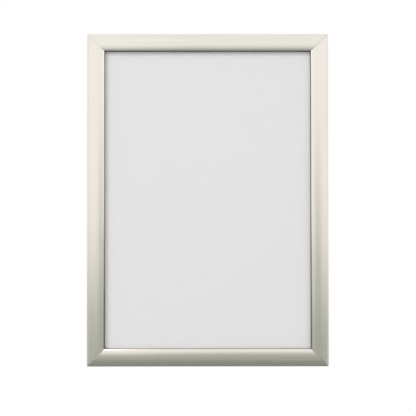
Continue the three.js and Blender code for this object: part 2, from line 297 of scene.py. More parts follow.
class FrameFinishes(bpy.types.PropertyGroup):
    """Colours of the frame's materials."""

    anodised: bpy.props.FloatVectorProperty(
        name="Anodised aluminium", description="Satin silver of the snap rails", subtype="COLOR",
        default=(0.812, 0.779, 0.704),
    )
    mill: bpy.props.FloatVectorProperty(
        name="Plain aluminium", description="Extruded aluminium of the base rails", subtype="COLOR",
        default=(0.60, 0.605, 0.60),
    )
    zinc: bpy.props.FloatVectorProperty(
        name="Zinc plate", description="Plated steel of the corner brackets", subtype="COLOR",
        default=(0.66, 0.68, 0.70),
    )
    spring: bpy.props.FloatVectorProperty(
        name="Spring steel", description="Blued strip of the leaf springs", subtype="COLOR",
        default=(0.30, 0.31, 0.34),
    )
    board: bpy.props.FloatVectorProperty(
        name="Back panel", description="White plastic sheet behind the poster", subtype="COLOR",
        default=(0.86, 0.86, 0.85),
    )
    paper: bpy.props.FloatVectorProperty(
        name="Insert", description="Blank light grey poster paper", subtype="COLOR",
        default=(0.685, 0.685, 0.687),
    )
    cover: bpy.props.FloatVectorProperty(
        name="Cover sheet", description="Clear low-glare plastic", subtype="COLOR",
        default=(0.945, 0.945, 0.94),
    )


class StudioSettings(bpy.types.PropertyGroup):
    """Camera and lamps."""

    camera_place: bpy.props.FloatVectorProperty(
        name="Camera place", description="Where the camera stands", subtype="TRANSLATION", unit="LENGTH",
        default=(-0.00556, -2.0, -0.05896),
    )
    camera_turn: bpy.props.FloatVectorProperty(
        name="Camera turn", description="Pitch, roll and yaw of the camera from looking straight along +Y",
        subtype="EULER", default=(0.024, 0.00093, -0.00296),
    )
    lens: bpy.props.FloatProperty(
        name="Lens", description="Focal length on a 36 mm sensor", default=127.83, min=10, max=400
    )
    key_power: bpy.props.FloatProperty(
        name="Key lamp", description="Power of the large lamp above on the left", default=141, unit="POWER"
    )
    fill_power: bpy.props.FloatProperty(
        name="Fill lamp", description="Power of the large lamp above on the right", default=18, unit="POWER"
    )
    left_panel: bpy.props.FloatProperty(
        name="Left panel", description="Power of the dim panel to the left of the camera", default=2.0,
        unit="POWER",
    )
    right_panel: bpy.props.FloatProperty(
        name="Right panel", description="Power of the dim panel to the right of the camera", default=1.2,
        unit="POWER",
    )


class Value:
    """A node socket that takes part in Python sums: each sum adds a Math node."""

    def __init__(self, nodes, socket):
        self.nodes = nodes
        self.socket = socket

    def _math(self, operation, *operands):
        return self.nodes.out("ShaderNodeMath", {"operation": operation}, dict(enumerate(operands)))

    def __add__(self, other):
        return self._math("ADD", self, other)

    __radd__ = __add__

    def __sub__(self, other):
        return self._math("SUBTRACT", self, other)

    def __rsub__(self, other):
        return self._math("SUBTRACT", other, self)

    def __mul__(self, other):
        return self._math("MULTIPLY", self, other)

    __rmul__ = __mul__

    def __pow__(self, other):
        return self._math("POWER", self, other)

    def __abs__(self):
        return self._math("ABSOLUTE", self)

    def above(self, level):
        return self._math("GREATER_THAN", self, level)

    def sine(self):
        return self._math("SINE", self)

    def cosine(self):
        return self._math("COSINE", self)


class Nodes:
    """Adds nodes to a tree: a type, its settings, and the values or links of its sockets."""

    def __init__(self, tree):
        self.tree = tree

    def add(self, kind, settings=None, sockets=None):
        node = self.tree.nodes.new(kind)
        for name, value in (settings or {}).items():
            if name == "ramp":
                self._stops(node.color_ramp, value)
            else:
                setattr(node, name, value)
        for name, value in (sockets or {}).items():
            socket = node.inputs[name]
            if isinstance(value, Value):
                self.tree.links.new(value.socket, socket)
            else:
                socket.default_value = value
        return node

    def out(self, kind, settings=None, sockets=None, name=None):
        """The named output of a new node, or its first one in use."""
        node = self.add(kind, settings, sockets)
        live = [o for o in node.outputs if o.enabled and name in (None, o.name)]
        return Value(self, live[0])

    @staticmethod
    def _stops(ramp, stops):
        while len(ramp.elements) < len(stops):
            ramp.elements.new(0.5)
        for element, (place, colour) in zip(ramp.elements, stops):
            element.position = place
            element.color = colour

    def noise(self, vector, scale, detail=2.0, roughness=0.5):
        return self.out(
            "ShaderNodeTexNoise", {},
            {"Vector": vector, "Scale": scale, "Detail": detail, "Roughness": roughness}, "Fac",
        )

    def combine(self, x, y, z):
        return self.out("ShaderNodeCombineXYZ", {}, {"X": x, "Y": y, "Z": z})

    def parts(self, vector):
        node = self.add("ShaderNodeSeparateXYZ", {}, {"Vector": vector})
        return [Value(self, output) for output in node.outputs]

    def position(self):
        return self.out("GeometryNodeInputPosition")

    def kept(self, name, kind="FLOAT"):
        """What an earlier step or the mesh has stored at each point under this name."""
        return self.out("GeometryNodeInputNamedAttribute", {"data_type": kind}, {"Name": name}, "Attribute")

    def fused(self, *shapes):
        """The shapes as one, with the points that lie together merged."""
        node = self.add("GeometryNodeJoinGeometry")
        for shape in shapes:
            self.tree.links.new(shape.socket, node.inputs[0])
        joined = Value(self, node.outputs[0])
        return self.out("GeometryNodeMergeByDistance", {}, {"Geometry": joined, "Distance": MERGE_DISTANCE})

    def mixed(self, factor, first, second):
        settings = {"data_type": "RGBA", "clamp_factor": True}
        node = self.add("ShaderNodeMix", settings, {0: factor})
        for index, colour in ((6, first), (7, second)):
            if isinstance(colour, Value):
                self.tree.links.new(colour.socket, node.inputs[index])
            else:
                node.inputs[index].default_value = (*colour, 1)
        return Value(self, node.outputs[2])


def arc(u, v, radius, from_degrees, to_degrees, steps):
    points = []
    for k in range(steps + 1):
        angle = math.radians(from_degrees + (to_degrees - from_degrees) * k / steps)
        points.append((u + radius * math.cos(angle), v + radius * math.sin(angle)))
    return points


def face_height(u, inset):
    """Height of the snap rail's face at u, or of its underside when inset is the wall's thickness."""
    outer = u < CROWN_U
    foot = SHOULDER_V if outer else NOSE_V
    reach = (CROWN_U if outer else FACE_WIDTH - CROWN_U) - inset
    share = min(abs(CROWN_U - u) / reach, 1)
    return foot + (DEPTH - foot - inset) * math.sqrt(1 - share * share)


def face_run(from_u, to_u, inset, steps):
    """Points along the face or the underside, closer together towards both ends."""
    points = []
    for k in range(steps + 1):
        u = from_u + (to_u - from_u) * (1 - math.cos(math.pi * k / steps)) / 2
        points.append((u, face_height(u, inset)))
    return points


def rounded(outline, radius, steps=CORNER_STEPS):
    """The outline with a curve in place of each corner that turns sharply."""
    points = []
    count = len(outline)
    for k in range(count):
        before, here, after = (Vector(outline[(k + j) % count]) for j in (-1, 0, 1))
        into, away = here - before, after - here
        turn = into.angle_signed(away) if into.length and away.length else 0
        if abs(turn) < CORNER_TURN:
            points.append(tuple(here))
            continue
        room = CORNER_TRIM_SHARE * min(into.length, away.length)
        trim = min(radius * math.tan(abs(turn) / 2), room)
        start = here - into.normalized() * trim
        end = here + away.normalized() * trim
        for j in range(steps + 1):
            share = j / steps
            pull = 2 * share * (1 - share)
            points.append(tuple(start * (1 - share) ** 2 + here * pull + end * share**2))
    return points


def snap_outline(steps):
    """Section of a snap rail: face, nose, ribbed underside and hinge bead."""
    neck_inner = math.degrees(math.acos((SNAP_WALL - HINGE_U) / BEAD_RADIUS))
    hook_tip = HOOK_U - HOOK_REACH
    hook_top = HOOK_V + HOOK_RISE
    return [
        (0, NECK_FOOT_V),
        (0, NECK_FOOT_V + WALL_FOOT_RISE),
        *face_run(0, FACE_WIDTH, 0, steps),
        (FACE_WIDTH, NOSE_SHADE_V),
        (FACE_WIDTH, NOSE_FOOT),
        (FACE_WIDTH - SNAP_WALL, NOSE_FOOT),
        *face_run(FACE_WIDTH - SNAP_WALL, RIB_RIGHT, SNAP_WALL, steps // 3),
        (RIB_RIGHT, HOOK_V - HOOK_WALL),
        (HOOK_U - RIB, HOOK_V - HOOK_WALL),
        (hook_tip, hook_top - HOOK_WALL),
        (hook_tip, hook_top),
        (HOOK_U, HOOK_V),
        *face_run(RIB_RIGHT - RIB_ROOT, SNAP_WALL, SNAP_WALL, steps // 3),
        *arc(HINGE_U, HINGE_V, BEAD_RADIUS, neck_inner, NECK_DEGREES - 360, BEAD_STEPS),
    ]


def base_outline():
    """Section of a base rail: grooved ledge, lipped channel, notched upright and hinge socket."""
    arm_degrees = math.degrees(math.acos((ARM_U - HINGE_U) / SOCKET_RADIUS))
    arm_top = HINGE_V + SOCKET_RADIUS + SOCKET_ARM
    notch_tip = CHANNEL_LEFT + NOTCH_REACH
    notch_top = NOTCH_V + NOTCH_INNER_RISE
    lip_left = CHANNEL_LEFT + CHANNEL_LIP_REACH
    lip_right = CHANNEL_RIGHT - CHANNEL_LIP_REACH
    return [
        (GROOVE_END, 0),
        (GROOVE_END, CHANNEL_TOP - LEDGE),
        (BASE_INNER - FOOT, CHANNEL_TOP - LEDGE),
        (BASE_INNER - FOOT, 0),
        (BASE_INNER, 0),
        (BASE_INNER, CHANNEL_TOP),
        (GROOVE_END, CHANNEL_TOP),
        (GROOVE_END, GROOVE_TOP),
        (BASE_INNER, GROOVE_TOP),
        (BASE_INNER, BED),
        (CHANNEL_RIGHT, BED),
        (CHANNEL_RIGHT, LIP_TOP),
        (lip_right, LIP_TOP),
        (lip_right, CHANNEL_TOP),
        (CHANNEL_RIGHT, CHANNEL_TOP),
        (CHANNEL_RIGHT, BASE_FLOOR),
        (CHANNEL_LEFT, BASE_FLOOR),
        (CHANNEL_LEFT, CHANNEL_TOP),
        (lip_left, CHANNEL_TOP),
        (lip_left, LIP_TOP),
        (CHANNEL_LEFT, LIP_TOP),
        (CHANNEL_LEFT, NOTCH_V - NOTCH_WALL),
        (notch_tip, notch_top - NOTCH_WALL),
        (notch_tip, notch_top),
        (NOTCH_U, NOTCH_V),
        (UPRIGHT_LEFT, NOTCH_V + NOTCH_OUTER_RISE),
        (UPRIGHT_LEFT, arm_top),
        (ARM_U, arm_top),
        *arc(HINGE_U, HINGE_V, SOCKET_RADIUS, arm_degrees, SOCKET_END_DEGREES - 360, SOCKET_STEPS),
        (HINGE_U - HINGE_V / math.tan(math.radians(SOCKET_END_DEGREES)), 0),
    ]


def snap_cut(u, v):
    """How far the end is cut back: square at the bead and the wall's foot, along the mitre elsewhere."""
    if math.hypot(u - HINGE_U, v - HINGE_V) < BEAD_CUT_SHARE * BEAD_RADIUS:
        return MITRE_GAP + HINGE_U + BEAD_RADIUS
    return MITRE_GAP + (max(u, WALL_FOOT_CUT) if v < NECK_FOOT_V + WALL_FOOT_CUT_RISE else u)


def mitre_cut(u, v):
    """Base rails meet tightly, so that no light comes through between two snap rails."""
    return BASE_MITRE_GAP + u


def square_cut(u, v):
    return 0.0


def painted_nose_shade(u, v):
    """Painted shade: 1 at the edge of the nose, where it meets the cover sheet, fading to 0 up the face."""
    if v <= NOSE_SHADE_V:
        return 0
    return min(max((u - NOSE_SHADE_U) / (FACE_WIDTH - NOSE_SHADE_U) * 2, 0), 1)


def faint_painted_nose_shade(u, v):
    """The bottom rail's nose, which faces up to the light, gets less of the painted shade."""
    return FAINT_NOSE_SHADE_SHARE * painted_nose_shade(u, v)


def no_painted_shade(u, v):
    return 0


def section_mesh(name, outline, cut, grime):
    """A flat mesh of the outline. Each point carries its outward way, cut, cut's lean, run and painted shade.
    """
    area = sum(a[0] * b[1] - b[0] * a[1] for a, b in zip(outline, outline[1:] + outline[:1]))
    points = [Vector(p) for p in (outline if area > 0 else reversed(outline))]
    points = [p for k, p in enumerate(points) if (p - points[k - 1]).length > LEAST_STEP]
    count = len(points)
    runs = [0.0]
    for here, after in zip(points, points[1:]):
        runs.append(runs[-1] + (after - here).length)
    inside_only = 1
    flat = delaunay_2d_cdt([p / MM for p in points], [], [list(range(count))], inside_only, FLAT_TOLERANCE)
    bm = bmesh.new()
    out_layer = bm.verts.layers.float_vector.new("out")
    cut_layer = bm.verts.layers.float.new("cut")
    lean_layer = bm.verts.layers.float.new("lean")
    run_layer = bm.verts.layers.float.new("across")
    painted_shade_layer = bm.verts.layers.float.new("grime")
    for k, here in enumerate(points):
        into = (here - points[k - 1]).normalized()
        away = (points[(k + 1) % count] - here).normalized()
        heading = into + away
        along = heading.normalized() if heading.length > LEAST_HEADING else into
        vert = bm.verts.new((here.x, here.y, 0))
        vert[out_layer] = (along.y, -along.x, 0)
        vert[cut_layer] = cut(here.x, here.y)
        vert[lean_layer] = (cut(here.x + LEAN_STEP, here.y) - cut(here.x, here.y)) / LEAN_STEP
        vert[run_layer] = runs[k]
        vert[painted_shade_layer] = grime(here.x, here.y)
    bm.verts.ensure_lookup_table()
    sources = flat[3]
    for triangle in flat[2]:
        bm.faces.new([bm.verts[sources[k][0]] for k in triangle])
    mesh = bpy.data.meshes.new(name)
    bm.to_mesh(mesh)
    bm.free()
    return mesh


def new_tree(name, inputs):
    """A Geometry Nodes tree with a geometry in and out and these named inputs."""
    tree = bpy.data.node_groups.new(name, "GeometryNodeTree")
    tree.interface.new_socket("Geometry", in_out="INPUT", socket_type="NodeSocketGeometry")
    for label, kind in inputs.items():
        tree.interface.new_socket(label, in_out="INPUT", socket_type=f"NodeSocket{kind}")
    tree.interface.new_socket("Geometry", in_out="OUTPUT", socket_type="NodeSocketGeometry")
    nodes = Nodes(tree)
    group = nodes.add("NodeGroupInput")
    given = {o.name: Value(nodes, o) for o in group.outputs if o.name}
    return tree, nodes, given


def finish_tree(nodes, shape, given):
    """Smooth shading with sharp creases, then real geometry with its material."""
    soft = nodes.out(
        "GeometryNodeSetShadeSmooth", {"domain": "FACE"}, {"Geometry": shape, "Shade Smooth": True}
    )
    bend = nodes.out("GeometryNodeInputMeshEdgeAngle", {}, {}, "Unsigned Angle")
    creased = nodes.out(
        "GeometryNodeSetShadeSmooth", {"domain": "EDGE"},
        {"Geometry": soft, "Selection": bend.above(given["Crease"]), "Shade Smooth": False},
    )
    real = nodes.out("GeometryNodeRealizeInstances", {}, {"Geometry": creased})
    done = nodes.out("GeometryNodeSetMaterial", {}, {"Geometry": real, "Material": given["Material"]})
    nodes.add("NodeGroupOutput", {}, {"Geometry": done})


def marked(nodes, shape, name, value):
    """The shape with the value stored at its points, as it is before any later move."""
    return nodes.out(
        "GeometryNodeStoreNamedAttribute", {"data_type": "FLOAT", "domain": "POINT"},
        {"Geometry": shape, "Name": name, "Value": value},
    )


@cache
def extrusion_tree():
    """Draws a flat section out to a length, cuts its ends as each point's cut says and breaks their edges.

    Its "end" attribute is 1 on the two end faces, which are a sheet's or a plate's broad faces.
    """
    inputs = {
        "Length": "Float", "Edge break": "Float", "Edge run": "Float", "Crease": "Float",
        "Material": "Material",
    }
    tree, nodes, given = new_tree("Cut extrusion", inputs)
    step = nodes.combine(0.0, 0.0, 1.0)
    back = nodes.out("GeometryNodeFlipFaces", {}, {"Mesh": given["Geometry"]})
    steps = 3
    shape, top = given["Geometry"], True
    for _ in range(steps):
        drawn = nodes.add(
            "GeometryNodeExtrudeMesh", {"mode": "FACES"},
            {"Mesh": shape, "Selection": top, "Offset": step, "Offset Scale": 1.0, "Individual": False},
        )
        shape, top = Value(nodes, drawn.outputs["Mesh"]), Value(nodes, drawn.outputs["Top"])
    merged = nodes.fused(back, shape)
    u, v, ring = nodes.parts(nodes.position())
    out_u, out_v, _ = nodes.parts(nodes.kept("out", "FLOAT_VECTOR"))
    cut, lean = nodes.kept("cut"), nodes.kept("lean")
    sign = ring.above(steps / 2) * 2 - 1
    rim = abs(ring - steps / 2).above(1)
    inset = rim * given["Edge break"]
    reach = given["Length"] * 0.5 - cut + lean * out_u * inset - (1 - rim) * given["Edge run"]
    moved = nodes.combine(u - out_u * inset, v - out_v * inset, sign * reach)
    ended = marked(nodes, merged, "end", rim)
    shaped = nodes.out("GeometryNodeSetPosition", {}, {"Geometry": ended, "Position": moved})
    run = nodes.parts(nodes.position())[2]
    finish_tree(nodes, marked(nodes, shaped, "along", run), given)
    return tree


def pair_along(nodes, across, spacing, shape, turn=(0.0, 0.0, 0.0)):
    """Two real copies of the shape, the spacing apart along the rail."""
    row = nodes.out(
        "GeometryNodeMeshLine", {"mode": "OFFSET"},
        {"Count": 2, "Start Location": nodes.combine(across, 0.0, spacing * -0.5),
         "Offset": nodes.combine(0.0, 0.0, spacing)},
    )
    copies = nodes.out(
        "GeometryNodeInstanceOnPoints", {}, {"Points": row, "Instance": shape, "Rotation": turn}
    )
    return nodes.out("GeometryNodeRealizeInstances", {}, {"Geometry": copies})


@cache
def drill_tree():
    """Cuts a row of two round holes, for wall screws, through the floor of a base rail."""
    inputs = {
        "Radius": "Float", "Spacing": "Float", "Place": "Float", "Crease": "Float", "Material": "Material",
    }
    tree, nodes, given = new_tree("Screw holes", inputs)
    drill = nodes.out(
        "GeometryNodeMeshCylinder", {},
        {"Vertices": HOLE_STEPS, "Radius": given["Radius"], "Depth": 2 * (BASE_FLOOR + CUT_OVERRUN)}, "Mesh",
    )
    drills = pair_along(nodes, given["Place"], given["Spacing"], drill, (math.radians(90), 0.0, 0.0))
    cut = nodes.add("GeometryNodeMeshBoolean", {"operation": "DIFFERENCE", "solver": "EXACT"})
    nodes.tree.links.new(given["Geometry"].socket, cut.inputs["Mesh 1"])
    nodes.tree.links.new(drills.socket, cut.inputs["Mesh 2"])
    finish_tree(nodes, Value(nodes, cut.outputs["Mesh"]), given)
    return tree


@cache
def spring_tree():
    """Bends two strips of spring steel to an arc and sets them in a row along a rail."""
    inputs = {
        "Radius": "Float", "Half angle": "Float", "Length": "Float", "Corner": "Float", "Thickness": "Float",
        "Spacing": "Float", "Crease": "Float", "Material": "Material",
    }
    tree, nodes, given = new_tree("Leaf springs", inputs)
    grid = {"Size X": 2.0, "Size Y": 2.0, "Vertices X": SPRING_ROWS_ACROSS, "Vertices Y": SPRING_ROWS_ALONG}
    strip = nodes.out("GeometryNodeMeshGrid", {}, grid, "Mesh")
    across, along, _ = nodes.parts(nodes.position())
    angle = across * given["Half angle"]
    radius = given["Radius"] - given["Thickness"] * 0.5
    reach = given["Length"] * 0.5 - given["Corner"] * abs(across) ** SPRING_CORNER_POWER
    curve = nodes.combine(radius * angle.sine(), radius * angle.cosine(), along * reach)
    bent = nodes.out("GeometryNodeSetPosition", {}, {"Geometry": strip, "Position": curve})
    drawn = nodes.out(
        "GeometryNodeExtrudeMesh", {"mode": "FACES"},
        {"Mesh": bent, "Offset Scale": given["Thickness"] * -1, "Individual": False}, "Mesh",
    )
    closed = nodes.fused(nodes.out("GeometryNodeFlipFaces", {}, {"Mesh": bent}), drawn)
    spring = nodes.out("GeometryNodeFlipFaces", {}, {"Mesh": closed})
    finish_tree(nodes, pair_along(nodes, 0.0, given["Spacing"], spring), given)
    return tree


def grown(name, mesh, steps):
    """A plain mesh object from a mesh and a list of (tree, values of its named inputs)."""
    piece = bpy.data.objects.new(name, mesh)
    bpy.context.scene.collection.objects.link(piece)
    for node_tree, values in steps:
        modifier = piece.modifiers.new(node_tree.name, "NODES")
        modifier.node_group = node_tree
        for item in node_tree.interface.items_tree:
            if item.in_out == "INPUT" and item.name in values:
                modifier[item.identifier] = values[item.name]
    ready = piece.evaluated_get(bpy.context.evaluated_depsgraph_get())
    solid = bpy.data.meshes.new_from_object(ready)
    piece.modifiers.clear()
    piece.data = solid
    solid.name = name
    return piece


def rail_matrix(side):
    """From u, v and the length of a rail's section to the row frame."""
    inward, _, span = SIDES[side]
    along = inward.cross(FORWARD)
    turn = Matrix((inward, FORWARD, along)).transposed().to_4x4()
    return Matrix.Translation(-inward * span / 2) @ turn


def place(piece, matrix):
    """Moves the piece's mesh and leaves its object at the origin."""
    piece.data.transform(matrix)
    piece.data.update()


def attribute(nodes, name):
    return nodes.out("ShaderNodeAttribute", {"attribute_name": name}, {}, "Fac")


def object_place(nodes):
    return nodes.out("ShaderNodeTexCoord", {}, {}, "Object")


def new_material(name, constants):
    """A material, its Nodes, and its Principled shader with these constant sockets."""
    made = bpy.data.materials.new(name)
    made.use_nodes = True
    made.node_tree.nodes.clear()
    nodes = Nodes(made.node_tree)
    shader = nodes.add("ShaderNodeBsdfPrincipled", {}, constants)
    output = nodes.add("ShaderNodeOutputMaterial")
    made.node_tree.links.new(shader.outputs[0], output.inputs[0])
    return made, nodes, shader


def feed(nodes, shader, **values):
    for name, value in values.items():
        nodes.tree.links.new(value.socket, shader.inputs[name.replace("_", " ")])


def bump(nodes, height, distance, strength=1.0):
    return nodes.out(
        "ShaderNodeBump", {}, {"Height": height, "Distance": distance, "Strength": strength}
    )


def scaled(colour, factor):
    return tuple(min(c * factor, 1) for c in colour)


def stretched(value, gain):
    """A noise's narrow range about its middle, widened so that both colours of a mix are reached."""
    return (value - 0.5) * gain + 0.5


def anodised_aluminium(name, grain_turn):
    """Satin anodised extrusion: fine die lines along the rail, a grain of etched pits, duller sawn ends and
    painted shade at the nose's edge.

    The die lines are too fine to see one by one, so they also spread reflections across the rail.
    """
    colour = tuple(bpy.context.scene.frame_finishes.anodised)
    brushed = {"Metallic": 1.0, "Anisotropic": 0.67, "Anisotropic Rotation": grain_turn}
    made, nodes, shader = new_material(name, brushed)
    across, along = attribute(nodes, "across"), attribute(nodes, "along")
    spot = object_place(nodes)
    lines = nodes.noise(nodes.combine(across * 6500, along * 9, 0.0), 1.0, 4.0, 0.7)
    grain = nodes.noise(spot, 5200, 2.0, 0.6)
    cloud = nodes.noise(spot, 14, 3.0, 0.5)
    streaks = nodes.noise(nodes.combine(across * 1300, along * 4, 7.0), 1.0, 3.0, 0.6)
    end, grime = attribute(nodes, "end"), attribute(nodes, "grime")
    marks = stretched(lines * 0.3 + cloud * 0.2 + streaks * 0.5, 3)
    tone = nodes.mixed(marks, scaled(colour, 0.955), scaled(colour, 1.04))
    sawn = nodes.mixed(end, tone, scaled(colour, 0.92))
    feed(
        nodes, shader,
        # Painted shade: the colour falls to 12 per cent along the edge of the nose, standing in for the shade
        # where it meets the cover sheet
        Base_Color=nodes.mixed(grime, sawn, scaled(colour, 0.12)),
        Roughness=0.165 + lines * 0.04 + grain * 0.03 + cloud * 0.03 + streaks * 0.05 + end * 0.1,
        Normal=bump(nodes, lines * 0.6 + grain * 0.4, 0.000012),
    )
    return made


def mill_aluminium():
    """Untreated extrusion: stronger die lines and a duller grey bloom."""
    colour = tuple(bpy.context.scene.frame_finishes.mill)
    made, nodes, shader = new_material("mill_aluminium", {"Metallic": 1.0})
    across, along = attribute(nodes, "across"), attribute(nodes, "along")
    spot = object_place(nodes)
    lines = nodes.noise(nodes.combine(across * 3800, along * 14, 3.0), 1.0, 5.0, 0.75)
    streaks = nodes.noise(nodes.combine(across * 700, along * 5, 9.0), 1.0, 4.0, 0.65)
    bloom = nodes.noise(spot, 32, 4.0, 0.6)
    grain = nodes.noise(spot, 3600, 2.0, 0.6)
    marks = stretched(lines * 0.3 + streaks * 0.45 + bloom * 0.25, 3.5)
    tone = nodes.mixed(marks, scaled(colour, 0.84), scaled(colour, 1.12))
    feed(
        nodes, shader,
        Base_Color=nodes.mixed(attribute(nodes, "end"), tone, scaled(colour, 1.15)),
        Roughness=0.3 + lines * 0.12 + streaks * 0.1 + bloom * 0.08,
        Normal=bump(nodes, lines * 0.8 + grain * 0.2, 0.000022),
    )
    return made


def zinc_plate():
    """Bright zinc on stamped steel: soft spangle, faint yellow and blue casts, and brighter sheared edges."""
    colour = tuple(bpy.context.scene.frame_finishes.zinc)
    made, nodes, shader = new_material("zinc_plate", {"Metallic": 1.0})
    spot = object_place(nodes)
    spangle = nodes.out(
        "ShaderNodeTexVoronoi", {"feature": "SMOOTH_F1"}, {"Vector": spot, "Scale": 420.0}, "Distance"
    )
    cast = nodes.noise(spot, 70, 3.0, 0.6)
    scratch = nodes.noise(spot, 2600, 3.0, 0.7)
    warm = (colour[0] * 1.04, colour[1], colour[2] * 0.93)
    cool = (colour[0] * 0.95, colour[1], colour[2] * 1.04)
    tone = nodes.mixed(stretched(cast, 3), warm, cool)
    feed(
        nodes, shader,
        Base_Color=nodes.mixed(0.7 - attribute(nodes, "end") * 0.7, tone, scaled(colour, 1.25)),
        Roughness=0.3 + spangle * 0.2 + scratch * 0.08,
        Normal=bump(nodes, scratch * 0.5 + spangle * 0.5, 0.00002),
    )
    return made


def spring_steel():
    """Blued strip with straw-coloured patches and a fine rolled grain."""
    colour = tuple(bpy.context.scene.frame_finishes.spring)
    made, nodes, shader = new_material("spring_steel", {"Metallic": 1.0})
    spot = object_place(nodes)
    tint = nodes.noise(spot, 90, 2.0, 0.5)
    roll = nodes.noise(spot, 3000, 4.0, 0.7)
    straw = (colour[0] * 1.35, colour[1] * 1.2, colour[2] * 0.95)
    feed(
        nodes, shader,
        Base_Color=nodes.mixed(stretched(tint, 3), colour, straw),
        Roughness=0.24 + roll * 0.14,
        Normal=bump(nodes, roll, 0.000012),
    )
    return made


def back_board():
    """White polystyrene sheet: a faint pebble, slow unevenness and hairline scuffs."""
    colour = tuple(bpy.context.scene.frame_finishes.board)
    made, nodes, shader = new_material("back_board", {"IOR": 1.55, "Specular IOR Level": 0.4})
    spot = object_place(nodes)
    pebble = nodes.noise(spot, 1400, 3.0, 0.55)
    slow = nodes.noise(spot, 9, 3.0, 0.5)
    stretch = nodes.out("ShaderNodeMapping", {}, {"Vector": spot, "Scale": (40.0, 1.0, 2600.0)})
    scuff = nodes.noise(stretch, 1.0, 3.0, 0.75).above(0.68)
    marks = stretched(slow, 2) * 0.7 + scuff * 0.3
    feed(
        nodes, shader,
        Base_Color=nodes.mixed(marks, scaled(colour, 1.02), scaled(colour, 0.94)),
        Roughness=0.42 + pebble * 0.12 + scuff * 0.1,
        Normal=bump(nodes, pebble, 0.00003, 0.6),
    )
    return made


def insert_paper():
    """Blank light grey poster paper: fibre mottle and a very slight cockle."""
    colour = tuple(bpy.context.scene.frame_finishes.paper)
    made, nodes, shader = new_material("insert_paper", {"Specular IOR Level": 0.25})
    spot = object_place(nodes)
    fibre = nodes.noise(spot, 2400, 4.0, 0.7)
    mottle = nodes.noise(spot, 160, 3.0, 0.6)
    cockle = nodes.noise(spot, 7, 2.0, 0.4)
    feed(
        nodes, shader,
        Base_Color=nodes.mixed(fibre * 0.6 + mottle * 0.4, scaled(colour, 0.985), scaled(colour, 1.015)),
        Roughness=0.8 + fibre * 0.15,
        Normal=bump(nodes, cockle * 0.9 + fibre * 0.02, 0.0004, 0.3),
    )
    return made


def clear_cover():
    """Clear sheet with a fine low-glare texture: see-through from the front, denser at its cut edges."""
    colour = tuple(bpy.context.scene.frame_finishes.cover)
    made, nodes, shader = new_material("clear_cover", {"IOR": 1.5, "Specular IOR Level": 0.5})
    spot = object_place(nodes)
    etch = nodes.noise(spot, 6000, 2.0, 0.5)
    haze = nodes.noise(spot, 11, 3.0, 0.5)
    feed(
        nodes, shader,
        Base_Color=nodes.mixed(haze, scaled(colour, 0.98), colour),
        Roughness=0.3 + etch * 0.12 + haze * 0.05,
        Alpha=0.6 - attribute(nodes, "end") * 0.52 + haze * 0.03,
        Normal=bump(nodes, etch, 0.000006, 0.5),
    )
    return made


def extruded(name, outline, cut, length, material, edge_break, slope=1, grime=no_painted_shade, extra=()):
    values = {
        "Length": length, "Edge break": edge_break, "Edge run": edge_break * slope, "Crease": CREASE,
        "Material": material,
    }
    return grown(name, section_mesh(name, outline, cut, grime), [(extrusion_tree(), values), *extra])


class FRAME_OT_snap_rails(bpy.types.Operator):
    """Builds the four front rails, each with its nose, ribbed underside and hinge bead"""

    bl_idname = "poster_frame.snap_rails"
    bl_label = "Snap rails"

    def execute(self, context):
        sizes = context.scene.frame_sizes
        outline = rounded(snap_outline(sizes.face_steps), sizes.edge_radius)
        level = anodised_aluminium("level_anodised", LEVEL_GRAIN_TURN)
        upright = anodised_aluminium("upright_anodised", UPRIGHT_GRAIN_TURN)
        for side, (inward, length, _) in SIDES.items():
            metal = upright if inward.x else level
            # Each nose gets painted shade along its edge, fainter on the bottom rail
            rail = extruded(
                f"snap_rail_{side}_finished", outline, snap_cut, length, metal, sizes.mitre_break,
                MITRE_BREAK_SLOPE, faint_painted_nose_shade if side == "bottom" else painted_nose_shade,
            )
            slip = (0, 0, SLIP_UP) if inward.x else (-SLIP_LEFT, 0, 0)
            place(rail, Matrix.Translation(slip) @ rail_matrix(side))
            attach(rail, f"{side}_flap")
            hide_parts(f"snap_rail_{side}")
        return {"FINISHED"}


class FRAME_OT_base_rails(bpy.types.Operator):
    """Builds the four back rails, with wall screw holes in the top and bottom ones"""

    bl_idname = "poster_frame.base_rails"
    bl_label = "Base rails"

    def execute(self, context):
        sizes = context.scene.frame_sizes
        outline = rounded(base_outline(), sizes.edge_radius)
        metal = mill_aluminium()
        for side, (_, length, _) in SIDES.items():
            holes = {
                "Radius": SCREW_HOLE_RADIUS, "Spacing": 2 * SCREW_PLACE_SHARE * length,
                "Place": (CHANNEL_LEFT + CHANNEL_RIGHT) / 2, "Crease": CREASE, "Material": metal,
            }
            extra = [(drill_tree(), holes)] if side in ("top", "bottom") else []
            rail = extruded(
                f"base_rail_{side}_finished", outline, mitre_cut, length, metal, sizes.mitre_break,
                extra=extra,
            )
            place(rail, rail_matrix(side))
            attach(rail, "frame_body")
            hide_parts(f"base_rail_{side}")
        return {"FINISHED"}


